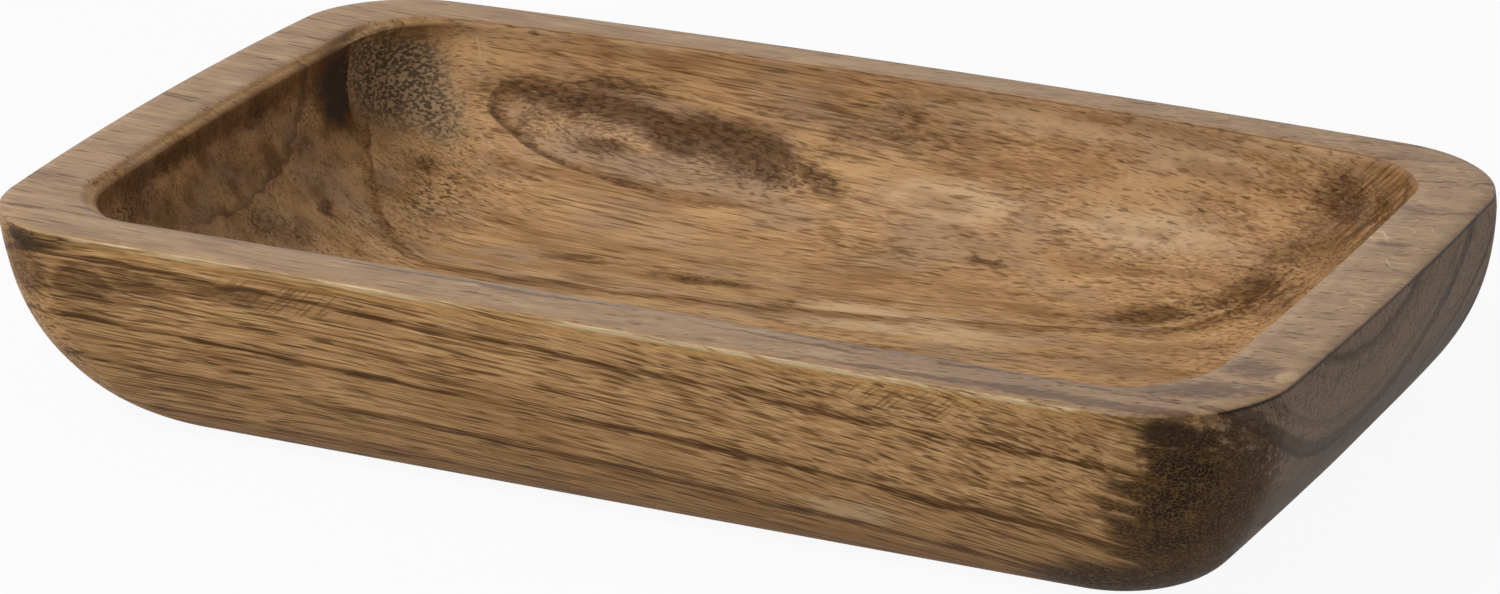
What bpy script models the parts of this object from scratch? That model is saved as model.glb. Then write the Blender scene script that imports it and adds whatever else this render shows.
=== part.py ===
"""Decorative tray: a shallow rectangular dish carved from one solid block of hardwood.

Metres, +Z up. The origin is the middle of the flat base, +X runs along the tray to its right
end and +Y runs to its back. The tray is a single piece of wood. A block is shaped outside, its
rim edge is softened, and the hollow is then carved out of it from above, so every curve here
is either an outline seen from above or the slope of a wall below that outline.
"""
import math

import bmesh
import bpy

OBJECT_NAME = "decorative_tray"

# Overall size, over the swell of the sides
LENGTH = 0.300
WIDTH = 0.1844
HEIGHT = 0.048
FLOOR_THICKNESS = 0.011

# Rim outline from above: the hand-cut corners differ, and each side swells between them
BACK_RIGHT_RADIUS = 0.0282
BACK_LEFT_RADIUS = 0.0248
FRONT_LEFT_RADIUS = 0.0215
FRONT_RIGHT_RADIUS = 0.0318
RIGHT_END_BOW = 0.0024
BACK_BOW = 0.0049
LEFT_END_BOW = 0.0046
FRONT_BOW = 0.0002

# Flat top of the rim, from the outline to the hollow's mouth
RIGHT_RIM_WIDTH = 0.0173
BACK_RIM_WIDTH = 0.0102
LEFT_RIM_WIDTH = 0.0146
FRONT_RIM_WIDTH = 0.0144
RIM_EDGE_SOFTENING = 0.0008

# Mouth of the hollow from above
MOUTH_BACK_RIGHT_RADIUS = 0.0197
MOUTH_BACK_LEFT_RADIUS = 0.0180
MOUTH_FRONT_LEFT_RADIUS = 0.0207
MOUTH_FRONT_RIGHT_RADIUS = 0.0226
MOUTH_RIGHT_BOW = 0.0015
MOUTH_BACK_BOW = 0.0062
MOUTH_LEFT_BOW = 0.0032
MOUTH_FRONT_BOW = -0.0011
MOUTH_ROUNDOVER = 0.0025
MOUTH_ARRIS_ANGLE = math.radians(20)

# Outside walls: a lean over the full height, and a foot that curves under to the base
END_WALL_LEAN = 0.0005
END_FOOT_RUN = 0.0280
END_FOOT_RISE = 0.0465
SIDE_WALL_LEAN = 0.0060
SIDE_FOOT_RUN = 0.0178
SIDE_FOOT_RISE = 0.0324
LEFT_BASE_RADIUS = 0.0285
RIGHT_BASE_RADIUS = 0.0170
BASE_BOW_SHARE = 0.5

# Walls of the hollow, which curve all the way down into its floor
HOLLOW_END_LEAN = 0.0020
HOLLOW_END_RUN = 0.0420
HOLLOW_SIDE_LEAN = 0.0030
HOLLOW_SIDE_RUN = 0.0280
FLOOR_CORNER_RADIUS = 0.0300

# How far the carving tool starts above the rim
CUT_OVERRUN = 0.0010

# Facets
CORNER_STEPS = 12
END_STEPS = 8
SIDE_STEPS = 14
FOOT_STEPS = 14
HOLLOW_STEPS = 13
ROUNDOVER_STEPS = 4
SOFTENING_SEGMENTS = 2

# Stained open-pored wood, linear colour
WOOD_COLOUR = (0.262, 0.149, 0.073, 1.0)
WOOD_ROUGHNESS = 0.62


def clear_scene():
    """Remove every object and collection that the file opens with."""
    for thing in list(bpy.data.objects):
        bpy.data.objects.remove(thing, do_unlink=True)
    for group in list(bpy.data.collections):
        bpy.data.collections.remove(group)


def new_collection(name):
    group = bpy.data.collections.new(name)
    bpy.context.scene.collection.children.link(group)
    return group


def wood_material():
    material = bpy.data.materials.new("stained_wood")
    material.use_nodes = True
    shader = material.node_tree.nodes["Principled BSDF"]
    shader.inputs["Base Color"].default_value = WOOD_COLOUR
    shader.inputs["Roughness"].default_value = WOOD_ROUGHNESS
    shader.inputs["Metallic"].default_value = 0.0
    return material


def blend(start, end, share):
    return start + (end - start) * share


def outline(left, right, front, back, radii, bows, z):
    """One level ring: a rectangle with round corners whose sides swell outwards.

    left, right, front and back are where the middles of the four sides lie. radii go round
    from the back right corner by the back left, and bows from the right end by the back. A
    bow draws the ends of its side in, so that the side's middle stays the widest place.
    """
    half_x = (right - left) / 2
    half_y = (back - front) / 2
    centre_x = (right + left) / 2
    centre_y = (back + front) / 2
    flat = []
    for corner in range(4):
        radius = min(radii[corner], half_x, half_y)
        sign_x = 1 if corner in (0, 3) else -1
        sign_y = 1 if corner in (0, 1) else -1
        for step in range(CORNER_STEPS + 1):
            angle = math.radians(90) * (corner + step / CORNER_STEPS)
            flat.append((sign_x * (half_x - radius) + radius * math.cos(angle),
                         sign_y * (half_y - radius) + radius * math.sin(angle)))
        # The side that follows: a long side after an even corner, an end after an odd one
        next_radius = min(radii[(corner + 1) % 4], half_x, half_y)
        if corner % 2 == 0:
            last = (-sign_x * (half_x - next_radius), sign_y * half_y)
            steps = SIDE_STEPS
        else:
            last = (sign_x * half_x, -sign_y * (half_y - next_radius))
            steps = END_STEPS
        first = flat[-1]
        for step in range(1, steps):
            flat.append((blend(first[0], last[0], step / steps), blend(first[1], last[1], step / steps)))
    right_bow, back_bow, left_bow, front_bow = bows
    ring = []
    for x, y in flat:
        along_x = x / half_x
        along_y = y / half_y
        end_bow = right_bow if x > 0 else left_bow
        side_bow = back_bow if y > 0 else front_bow
        ring.append((centre_x + x - end_bow * along_y ** 2 * along_x,
                     centre_y + y - side_bow * along_x ** 2 * along_y,
                     z))
    return ring


def sweep_under(depth, full_depth, lean, run, rise):
    """How far a wall has come in at a depth: straight at first, then along a quarter ellipse."""
    rise = min(rise, full_depth)
    curved = max(0.0, depth - (full_depth - rise)) / rise
    return lean * depth / full_depth + run * (1 - math.sqrt(max(0.0, 1 - curved ** 2)))


def sweep_depths(full_depth, steps):
    """Depths that lie closer together towards the foot, where the wall turns level."""
    return [full_depth * math.sin(math.radians(90) * step / steps) for step in range(steps + 1)]


def loft(name, rings, collection):
    """A closed solid through level rings of alike point counts, capped at both ends."""
    mesh = bpy.data.meshes.new(name)
    shape = bmesh.new()
    loops = []
    for ring in rings:
        corners = [shape.verts.new(point) for point in ring]
        loops.append([shape.edges.new(pair) for pair in zip(corners, corners[1:] + corners[:1])])
    for upper, lower in zip(loops, loops[1:]):
        bmesh.ops.bridge_loops(shape, edges=upper + lower)
    for end in (loops[0], loops[-1]):
        bmesh.ops.contextual_create(shape, geom=end)
    bmesh.ops.recalc_face_normals(shape, faces=shape.faces)
    shape.to_mesh(mesh)
    shape.free()
    solid = bpy.data.objects.new(name, mesh)
    collection.objects.link(solid)
    return solid


def shaped_block(collection):
    """The outside: rim outline at the top, drawn in level by level to the smaller base."""
    rim_radii = (BACK_RIGHT_RADIUS, BACK_LEFT_RADIUS, FRONT_LEFT_RADIUS, FRONT_RIGHT_RADIUS)
    base_radii = (RIGHT_BASE_RADIUS, LEFT_BASE_RADIUS, LEFT_BASE_RADIUS, RIGHT_BASE_RADIUS)
    rim_bows = (RIGHT_END_BOW, BACK_BOW, LEFT_END_BOW, FRONT_BOW)
    rings = []
    for depth in sweep_depths(HEIGHT, FOOT_STEPS):
        share = depth / HEIGHT
        end_x = LENGTH / 2 - sweep_under(depth, HEIGHT, END_WALL_LEAN, END_FOOT_RUN, END_FOOT_RISE)
        side_y = WIDTH / 2 - sweep_under(depth, HEIGHT, SIDE_WALL_LEAN, SIDE_FOOT_RUN, SIDE_FOOT_RISE)
        radii = [blend(rim, base, share) for rim, base in zip(rim_radii, base_radii)]
        bows = [blend(bow, bow * BASE_BOW_SHARE, share) for bow in rim_bows]
        rings.append(outline(-end_x, end_x, -side_y, side_y, radii, bows, HEIGHT - depth))
    return loft("carved_tray", rings, collection)


def carved_hollow(collection):
    """The space to carve out: from above the rim, round the mouth's edge and down to the floor."""
    hollow_depth = HEIGHT - FLOOR_THICKNESS
    mouth_radii = (MOUTH_BACK_RIGHT_RADIUS, MOUTH_BACK_LEFT_RADIUS,
                   MOUTH_FRONT_LEFT_RADIUS, MOUTH_FRONT_RIGHT_RADIUS)
    mouth_bows = (MOUTH_RIGHT_BOW, MOUTH_BACK_BOW, MOUTH_LEFT_BOW, MOUTH_FRONT_BOW)

    def ring_at(depth, end_inset, side_inset):
        share = max(0.0, depth / hollow_depth)
        radii = [blend(radius, FLOOR_CORNER_RADIUS, share) for radius in mouth_radii]
        bows = [blend(bow, bow * BASE_BOW_SHARE, share) for bow in mouth_bows]
        return outline(-LENGTH / 2 + LEFT_RIM_WIDTH + end_inset, LENGTH / 2 - RIGHT_RIM_WIDTH - end_inset,
                       -WIDTH / 2 + FRONT_RIM_WIDTH + side_inset, WIDTH / 2 - BACK_RIM_WIDTH - side_inset,
                       radii, bows, HEIGHT - depth)

    # The mouth's edge is rounded, but meets the flat rim at a low arris and not smoothly
    rings = [ring_at(-CUT_OVERRUN, *[-CUT_OVERRUN / math.tan(MOUTH_ARRIS_ANGLE)] * 2)]
    for step in range(ROUNDOVER_STEPS):
        angle = blend(MOUTH_ARRIS_ANGLE, math.radians(90), step / ROUNDOVER_STEPS)
        inset = MOUTH_ROUNDOVER * (math.sin(angle) - math.sin(MOUTH_ARRIS_ANGLE))
        drop = MOUTH_ROUNDOVER * (math.cos(MOUTH_ARRIS_ANGLE) - math.cos(angle))
        rings.append(ring_at(drop, inset, inset))
    edge_inset = MOUTH_ROUNDOVER * (1 - math.sin(MOUTH_ARRIS_ANGLE))
    edge_drop = MOUTH_ROUNDOVER * math.cos(MOUTH_ARRIS_ANGLE)
    wall_depth = hollow_depth - edge_drop
    for depth in sweep_depths(wall_depth, HOLLOW_STEPS):
        end_inset = sweep_under(depth, wall_depth, HOLLOW_END_LEAN, HOLLOW_END_RUN, wall_depth)
        side_inset = sweep_under(depth, wall_depth, HOLLOW_SIDE_LEAN, HOLLOW_SIDE_RUN, wall_depth)
        rings.append(ring_at(edge_drop + depth, edge_inset + end_inset, edge_inset + side_inset))
    cutter = loft("hollow_cutter", rings, collection)
    cutter.hide_render = True
    cutter.display_type = "WIRE"
    return cutter


def soften_rim_edge(tray):
    """Take the sharpness off the one hard edge that the block has, round the top of the rim."""
    bevel = tray.modifiers.new("rim_edge_softening", "BEVEL")
    bevel.width = RIM_EDGE_SOFTENING
    bevel.segments = SOFTENING_SEGMENTS
    bevel.limit_method = "ANGLE"
    bevel.angle_limit = math.radians(60)


def carve(tray, cutter):
    cut = tray.modifiers.new("hollow", "BOOLEAN")
    cut.operation = "DIFFERENCE"
    cut.solver = "EXACT"
    cut.object = cutter


def build_tray():
    clear_scene()
    parts = new_collection(OBJECT_NAME)
    cutters = new_collection("cutters")
    tray = shaped_block(parts)
    tray.data.materials.append(wood_material())
    tray.data.shade_smooth()
    tray.data.set_sharp_from_angle(angle=math.radians(40))
    soften_rim_edge(tray)
    carve(tray, carved_hollow(cutters))


build_tray()
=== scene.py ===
"""A shallow rectangular tray carved from one block of stained, open-pored hardwood."""
import functools
import math

import bpy
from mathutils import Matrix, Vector


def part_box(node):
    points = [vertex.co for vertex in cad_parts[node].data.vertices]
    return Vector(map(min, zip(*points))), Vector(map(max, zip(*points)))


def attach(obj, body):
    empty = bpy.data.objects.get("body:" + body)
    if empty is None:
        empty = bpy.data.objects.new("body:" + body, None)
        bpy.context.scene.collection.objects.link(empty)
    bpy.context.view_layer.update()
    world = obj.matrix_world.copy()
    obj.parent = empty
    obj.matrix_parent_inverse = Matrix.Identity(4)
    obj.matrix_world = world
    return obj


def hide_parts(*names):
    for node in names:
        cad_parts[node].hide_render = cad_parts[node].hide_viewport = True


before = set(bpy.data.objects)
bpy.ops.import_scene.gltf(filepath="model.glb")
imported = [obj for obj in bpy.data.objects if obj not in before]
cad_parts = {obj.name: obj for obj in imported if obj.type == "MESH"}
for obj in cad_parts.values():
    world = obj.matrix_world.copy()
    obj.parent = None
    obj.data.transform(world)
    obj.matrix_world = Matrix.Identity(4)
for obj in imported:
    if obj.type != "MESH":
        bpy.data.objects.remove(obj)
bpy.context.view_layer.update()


# The carved block
# The whole tray is one piece of paulownia-like hardwood, band-sawn outside, hollowed from
# above with a gouge and sanded by hand, so its corners and sides are slightly unlike. It is a
# loft: one outline rule, run through level stations from the base, up, over the rim and down.
tray_low, tray_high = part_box("carved_tray")
MM_IN_METRE = 1000.0
LENGTH = 0.300
WIDTH = 0.1844
HEIGHT = tray_high.z - tray_low.z
FLOOR_THICKNESS = 0.011

# In metres. Corners go round from the back right one by the back left, and sides go round
# from the right end by the back
RIM_CORNER_RADII = (0.0282, 0.0248, 0.0215, 0.0318)
RIM_BOWS = (0.0024, 0.0049, 0.0046, 0.0002)
RIM_WIDTHS = (0.0173, 0.0102, 0.0146, 0.0144)
RIM_EDGE_SOFTENING = 0.0008
WORN_DEPTH = 0.0040
MOUTH_CORNER_RADII = (0.0197, 0.0180, 0.0207, 0.0226)
MOUTH_BOWS = (0.0015, 0.0062, 0.0032, -0.0011)
MOUTH_ROUNDOVER = 0.0020
MOUTH_ROUNDOVER_WIDTHS = (0.0012, 0.0008, 0.0042, 0.0014)
MOUTH_ARRIS_ANGLE = math.radians(20)
MOUTH_POLISH_DEPTH = 0.0090
BASE_CORNER_RADII = (0.0170, 0.0285, 0.0285, 0.0170)
FLOOR_CORNER_RADIUS = 0.0300
TIGHTER_HALFWAY = (0.0, 0.0060, 0.0040, 0.0)
DEEP_BOW_SHARE = 0.5
END_LEAN, END_FOOT_RUN, END_FOOT_RISE = 0.0005, 0.0280, 0.0465
SIDE_LEAN, SIDE_FOOT_RUN, SIDE_FOOT_RISE = 0.0060, 0.0178, 0.0324
HOLLOW_END_LEAN, HOLLOW_END_RUN = 0.0020, 0.0420
HOLLOW_SIDE_LEAN, HOLLOW_SIDE_RUN = 0.0030, 0.0280

# What the hand tools left: how deep, and over what length
TOOL_MARKS = {"Scrape depth": 0.0007, "Scrape length": 0.045,
              "Gouge depth": 0.0003, "Gouge length": 0.014,
              "Nibble depth": 0.0007, "Nibble length": 0.007,
              "Crease depth": 0.0013, "Crease reach": 0.009}
UNSCRAPED_FOOT = (0.001, 0.012)
CREASE_PLACE, CREASE_LEAN = 0.0315, 0.53
CREASE_END, CREASE_FOOT = (-0.100, -0.118), (0.020, 0.032)
TOOL_MARK_SEED = 4.0

COLUMNS = 640
CORNER_COLUMN_SHARE = 0.32
BASE_ROWS, FOOT_ROWS, EDGE_ROWS, RIM_ROWS = 8, 42, 6, 5
ROUNDOVER_ROWS, HOLLOW_ROWS, FLOOR_ROWS = 9, 54, 18
SAME_PLACE = 0.000001
QUARTER_TURN = math.radians(90)


def blend(start, end, share):
    return start + (end - start) * share


def sweep_under(depth, full_depth, lean, run, rise):
    """How far a wall has come in at a depth: straight at first, then along a quarter ellipse."""
    curved = max(0.0, depth - (full_depth - rise)) / rise
    return lean * depth / full_depth + run * (1 - math.sqrt(max(0.0, 1 - curved ** 2)))


def station(z, reaches, radii, bows, wear=0.0, rim=0.0, hollow=0.0, mouth=0.0):
    """One level ring: how far each side's middle lies from the axis, and its corners and bows."""
    return {"z": z, "reaches": reaches, "radii": radii, "bows": bows,
            "wear": wear, "rim": rim, "hollow": hollow, "mouth": mouth}


def shrunk(ring, share):
    """The same ring drawn in towards the axis, to close the base or the floor."""
    drawn_in = ([value * share for value in ring[key]] for key in ("reaches", "radii", "bows"))
    return station(ring["z"], *drawn_in, hollow=ring["hollow"])


def outside_station(depth, wear=0.0):
    end = LENGTH / 2 - sweep_under(depth, HEIGHT, END_LEAN, END_FOOT_RUN, END_FOOT_RISE)
    side = WIDTH / 2 - sweep_under(depth, HEIGHT, SIDE_LEAN, SIDE_FOOT_RUN, SIDE_FOOT_RISE)
    share = depth / HEIGHT
    return station(HEIGHT - depth, (end, side, end, side),
                   [blend(rim, base, share) for rim, base in zip(RIM_CORNER_RADII, BASE_CORNER_RADII)],
                   [blend(bow, bow * DEEP_BOW_SHARE, share) for bow in RIM_BOWS], wear=wear)


def hollow_station(depth, insets, rim=0.0):
    halves = (LENGTH / 2, WIDTH / 2, LENGTH / 2, WIDTH / 2)
    share = depth / (HEIGHT - FLOOR_THICKNESS)
    halfway = math.sin(2 * QUARTER_TURN * min(1.0, share))
    return station(HEIGHT - depth,
                   [half - width - inset for half, width, inset in zip(halves, RIM_WIDTHS, insets)],
                   [blend(radius, FLOOR_CORNER_RADIUS, share) - tighter * halfway
                    for radius, tighter in zip(MOUTH_CORNER_RADII, TIGHTER_HALFWAY)],
                   [blend(bow, bow * DEEP_BOW_SHARE, share) for bow in MOUTH_BOWS],
                   rim=rim, hollow=1 - rim, mouth=(1 - rim) * max(0.0, 1 - depth / MOUTH_POLISH_DEPTH))


def carved_stations():
    """Every station from the middle of the base to the middle of the floor, in order."""
    rows = [shrunk(outside_station(HEIGHT), step / BASE_ROWS) for step in range(BASE_ROWS)]
    straight = HEIGHT - RIM_EDGE_SOFTENING
    for step in range(FOOT_ROWS + 1):
        depth = RIM_EDGE_SOFTENING + straight * math.cos(QUARTER_TURN * step / FOOT_ROWS)
        rows.append(outside_station(depth, wear=max(0.0, 1 - depth / WORN_DEPTH)))
    outer = outside_station(0.0)
    for step in range(1, EDGE_ROWS + 1):
        angle = QUARTER_TURN * step / EDGE_ROWS
        inset = RIM_EDGE_SOFTENING * (1 - math.cos(angle))
        drop = RIM_EDGE_SOFTENING * (1 - math.sin(angle))
        wear = math.cos(angle) ** 0.5 if step < EDGE_ROWS else 0.0
        rows.append(station(HEIGHT - drop, [reach - inset for reach in outer["reaches"]],
                            outer["radii"], outer["bows"], wear=wear, rim=math.sin(angle)))
    rim_outside, rim_inside = rows[-1], hollow_station(0.0, (0.0,) * 4, rim=1.0)
    for step in range(1, RIM_ROWS + 1):
        across = ([blend(outside, inside, step / RIM_ROWS)
                   for outside, inside in zip(rim_outside[key], rim_inside[key])]
                  for key in ("reaches", "radii", "bows"))
        rows.append(station(HEIGHT, *across, rim=1.0))
    for step in range(1, ROUNDOVER_ROWS + 1):
        angle = blend(MOUTH_ARRIS_ANGLE, QUARTER_TURN, step / ROUNDOVER_ROWS)
        gone = (math.sin(angle) - math.sin(MOUTH_ARRIS_ANGLE)) / (1 - math.sin(MOUTH_ARRIS_ANGLE))
        edge_insets = [width * gone for width in MOUTH_ROUNDOVER_WIDTHS]
        drop = MOUTH_ROUNDOVER * (math.cos(MOUTH_ARRIS_ANGLE) - math.cos(angle))
        rows.append(hollow_station(drop, edge_insets, rim=max(0.0, 1 - step / 2)))
    wall_depth = HEIGHT - FLOOR_THICKNESS - drop
    for step in range(1, HOLLOW_ROWS + 1):
        depth = wall_depth * math.sin(QUARTER_TURN * step / HOLLOW_ROWS)
        end = sweep_under(depth, wall_depth, HOLLOW_END_LEAN, HOLLOW_END_RUN, wall_depth)
        side = sweep_under(depth, wall_depth, HOLLOW_SIDE_LEAN, HOLLOW_SIDE_RUN, wall_depth)
        insets = [edge + wall for edge, wall in zip(edge_insets, (end, side, end, side))]
        rows.append(hollow_station(drop + depth, insets))
    floor = rows[-1]
    rows += [shrunk(floor, 1 - step / FLOOR_ROWS) for step in range(1, FLOOR_ROWS + 1)]
    return rows


def station_points(rows):
    """A point on the axis for each station, which carries its numbers as attributes."""
    mesh = bpy.data.meshes.new("carved_tray_stations")
    mesh.from_pydata([(0.0, 0.0, row["z"]) for row in rows], [], [])
    columns = {name: [row[name] for row in rows] for name in ("z", "wear", "rim", "hollow", "mouth")}
    for key, name in (("reaches", "reach"), ("radii", "radius"), ("bows", "bow")):
        for quarter in range(4):
            columns[f"{name}_{quarter}"] = [row[key][quarter] for row in rows]
    for name, values in columns.items():
        mesh.attributes.new(name, "FLOAT", "POINT").data.foreach_set("value", values)
    return mesh


def add(tree, kind, inputs=(), **settings):
    """Add a node with its settings and links. Its kind may end in the operation that it does. Its
    inputs come in order or by name, each a value, a socket, or a node, whose first output is meant."""
    kind, _, operation = kind.partition(":")
    node = tree.nodes.new(kind)
    if operation:
        node.operation = operation
    for name, value in settings.items():
        setattr(node, name, value)
    in_use = [socket for socket in node.inputs if socket.enabled]
    by_name = {socket.name: socket for socket in reversed(in_use)}
    for name, value in (inputs.items() if isinstance(inputs, dict) else enumerate(inputs)):
        socket = in_use[name] if isinstance(name, int) else by_name[name]
        if isinstance(value, bpy.types.Node):
            value = next(output for output in value.outputs if output.enabled)
        if isinstance(value, bpy.types.NodeSocket):
            tree.links.new(value, socket)
        else:
            socket.default_value = value
    return node


def loft_tree():
    """The carving rule as geometry nodes: columns run round the outline, rows along the stations."""
    tree = bpy.data.node_groups.new("carved_loft", "GeometryNodeTree")
    tree.is_modifier = True
    kinds = {"Stations": "Geometry", "Columns": "Int", "Rows": "Int", "Corner column share": "Float",
             **dict.fromkeys(TOOL_MARKS, "Float"), "Seed": "Float", "Wood": "Material"}
    for name, kind in kinds.items():
        tree.interface.new_socket(name, in_out="INPUT", socket_type="NodeSocket" + kind)
    tree.interface.new_socket("Tray", in_out="OUTPUT", socket_type="NodeSocketGeometry")
    given = tree.nodes.new("NodeGroupInput").outputs
    node = functools.partial(add, tree)

    # Each column lies in a quarter of the outline, first on the corner's arc, then on the straight
    grid = node("GeometryNodeMeshGrid", {
        "Size X": 1.0, "Size Y": 1.0, "Vertices Y": given["Rows"],
        "Vertices X": node("ShaderNodeMath:ADD", (given["Columns"], 1.0))})
    spot = node("ShaderNodeSeparateXYZ", (node("GeometryNodeInputPosition"),)).outputs
    row = node("FunctionNodeFloatToInt", (node("ShaderNodeMath:MULTIPLY", (
        node("ShaderNodeMath:ADD", (spot["Y"], 0.5)),
        node("ShaderNodeMath:SUBTRACT", (given["Rows"], 1.0)))),), rounding_mode="ROUND")
    column = node("ShaderNodeMath:ROUND", (node("ShaderNodeMath:MULTIPLY", (
        node("ShaderNodeMath:ADD", (spot["X"], 0.5)), given["Columns"])),))
    turn = node("ShaderNodeMath:MULTIPLY", (column, 4.0))
    turn = node("ShaderNodeMath:DIVIDE", (turn, given["Columns"]))
    quarter = node("ShaderNodeMath:MINIMUM", (node("ShaderNodeMath:FLOOR", (turn,)), 3.0))
    along = node("ShaderNodeMath:SUBTRACT", (turn, quarter))
    arc = node("ShaderNodeMath:DIVIDE", (along, given["Corner column share"]), use_clamp=True)
    straight = node("ShaderNodeMapRange", (along, given["Corner column share"], 1.0))

    def of_station(name):
        """What this row's station holds under a name."""
        kept = node("GeometryNodeInputNamedAttribute", {"Name": name}, data_type="FLOAT")
        return node("GeometryNodeSampleIndex", {
            "Geometry": given["Stations"], "Value": kept, "Index": row}, data_type="FLOAT", domain="POINT")

    def corner_radius(steps_on):
        """The radius of this quarter's corner, or of the next one, at this row's station."""
        corner = node("ShaderNodeMath:MODULO", (node("ShaderNodeMath:ADD", (quarter, steps_on)), 4.0))
        corner = node("FunctionNodeFloatToInt", (corner,), rounding_mode="ROUND")
        choice = node("GeometryNodeIndexSwitch", {"Index": corner}, data_type="FLOAT")
        while len(choice.index_switch_items) < 4:
            choice.index_switch_items.new()
        for number in range(4):
            tree.links.new(of_station(f"radius_{number}").outputs[0], choice.inputs[number + 1])
        return choice

    def corner_side(wave, steps_on):
        """Plus one where that corner lies on the right or at the back, minus one where it doesn't."""
        middle = node("ShaderNodeMath:ADD", (quarter, steps_on + 0.5))
        middle = node("ShaderNodeMath:MULTIPLY", (middle, QUARTER_TURN))
        return node("ShaderNodeMath:SIGN", (node("ShaderNodeMath:" + wave, (middle,)),))

    radius = node("ShaderNodeMix", (straight, corner_radius(0.0), corner_radius(1.0)))
    heading = node("ShaderNodeMath:ADD", (quarter, arc))
    heading = node("ShaderNodeMath:MULTIPLY", (heading, QUARTER_TURN))
    flat = []
    for wave, plus_side, minus_side in (("COSINE", 0, 2), ("SINE", 1, 3)):
        side = node("ShaderNodeMix", (straight, corner_side(wave, 0.0), corner_side(wave, 1.0)))
        on_plus = node("ShaderNodeMath:GREATER_THAN", (side, 0.0))
        reach, bow = (node("ShaderNodeMix", (on_plus, of_station(f"{name}_{minus_side}"),
                                             of_station(f"{name}_{plus_side}")))
                      for name in ("reach", "bow"))
        to_arc = node("ShaderNodeMath:SUBTRACT", (reach, radius))
        to_arc = node("ShaderNodeMath:MULTIPLY", (side, to_arc))
        on_arc = node("ShaderNodeMath:" + wave, (heading,))
        value = node("ShaderNodeMath:MULTIPLY_ADD", (radius, on_arc, to_arc))
        some_reach = node("ShaderNodeMath:MAXIMUM", (reach, SAME_PLACE))
        share = node("ShaderNodeMath:DIVIDE", (value, some_reach))
        flat.append((value, share, bow))

    # A bowed side stands out at its middle and is drawn in towards its corners, by the whole bow there
    bowed = []
    for (value, share, bow), (_, other_share, _) in (flat, flat[::-1]):
        squared = node("ShaderNodeMath:MULTIPLY", (other_share, other_share))
        drawn_in = node("ShaderNodeMath:MULTIPLY", (bow, share))
        drawn_in = node("ShaderNodeMath:MULTIPLY", (drawn_in, squared))
        bowed.append(node("ShaderNodeMath:SUBTRACT", (value, drawn_in)))
    shell = grid
    for name in ("hollow", "wear", "rim", "mouth"):
        shell = node("GeometryNodeStoreNamedAttribute", {
            "Geometry": shell, "Name": name, "Value": of_station(name)}, data_type="FLOAT")
    shell = node("GeometryNodeSetPosition", {
        "Geometry": shell, "Position": node("ShaderNodeCombineXYZ", (*bowed, of_station("z")))})
    shell = node("GeometryNodeMergeByDistance", {"Geometry": shell, "Distance": SAME_PLACE})

    def worked(shell, tool, where):
        """Take off an uneven skin, at most as deep as the tool cuts, that changes over its length."""
        unevenness = node("ShaderNodeTexNoise", {
            "Vector": node("GeometryNodeInputPosition"), "W": given["Seed"], "Detail": 1.0,
            "Scale": node("ShaderNodeMath:DIVIDE", (1.0, given[tool + " length"]))}, noise_dimensions="4D")
        inward_depth = node("ShaderNodeMath:MULTIPLY", (given[tool + " depth"], -1.0))
        cut = node("ShaderNodeMath:MULTIPLY", (unevenness, where))
        cut = node("ShaderNodeMath:MULTIPLY", (cut, inward_depth))
        inward = node("ShaderNodeVectorMath:SCALE", {0: node("GeometryNodeInputNormal"), "Scale": cut})
        return node("GeometryNodeSetPosition", {"Geometry": shell, "Offset": inward})

    # The scraper works everywhere but on base and rim, the gouge in the hollow, wear on the arris
    height = node("ShaderNodeSeparateXYZ", (node("GeometryNodeInputPosition"),)).outputs["Z"]
    above_base = node("ShaderNodeMapRange", (height, *UNSCRAPED_FOOT))
    on_rim, in_hollow, on_arris = (
        node("GeometryNodeInputNamedAttribute", {"Name": name}, data_type="FLOAT")
        for name in ("rim", "hollow", "wear"))
    off_rim = node("ShaderNodeMath:SUBTRACT", (1.0, on_rim))
    shell = worked(shell, "Scrape", node("ShaderNodeMath:MULTIPLY", (above_base, off_rim)))
    shell = worked(shell, "Gouge", in_hollow)
    shell = worked(shell, "Nibble", on_arris)

    # Where the left wall meets the back corner the gouge has left a crease, which leans with depth
    spot = node("ShaderNodeSeparateXYZ", (node("GeometryNodeInputPosition"),)).outputs
    at_left = node("ShaderNodeMapRange", (spot["X"], *CREASE_END, 0.0, in_hollow))
    line = node("ShaderNodeMath:MULTIPLY_ADD", (spot["Z"], -CREASE_LEAN, spot["Y"]))
    beside = node("ShaderNodeMath:ABSOLUTE", (node("ShaderNodeMath:SUBTRACT", (line, CREASE_PLACE)),))
    near = node("ShaderNodeMapRange", (beside, given["Crease reach"], 0.0, 0.0, given["Crease depth"]))
    high = node("ShaderNodeMapRange", (spot["Z"], *CREASE_FOOT, 0.0, at_left))
    groove = node("ShaderNodeMath:MULTIPLY", (near, high))
    groove = node("ShaderNodeMath:MULTIPLY", (groove, -1.0))
    inward = node("ShaderNodeVectorMath:SCALE", {0: node("GeometryNodeInputNormal"), "Scale": groove})
    shell = node("GeometryNodeSetPosition", {"Geometry": shell, "Offset": inward})
    shell = node("GeometryNodeSetShadeSmooth", {"Geometry": shell})
    shell = node("GeometryNodeRealizeInstances", {"Geometry": shell})
    shell = node("GeometryNodeSetMaterial", {"Geometry": shell, "Material": given["Wood"]})
    node("NodeGroupOutput", {"Tray": shell})
    return tree


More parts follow.
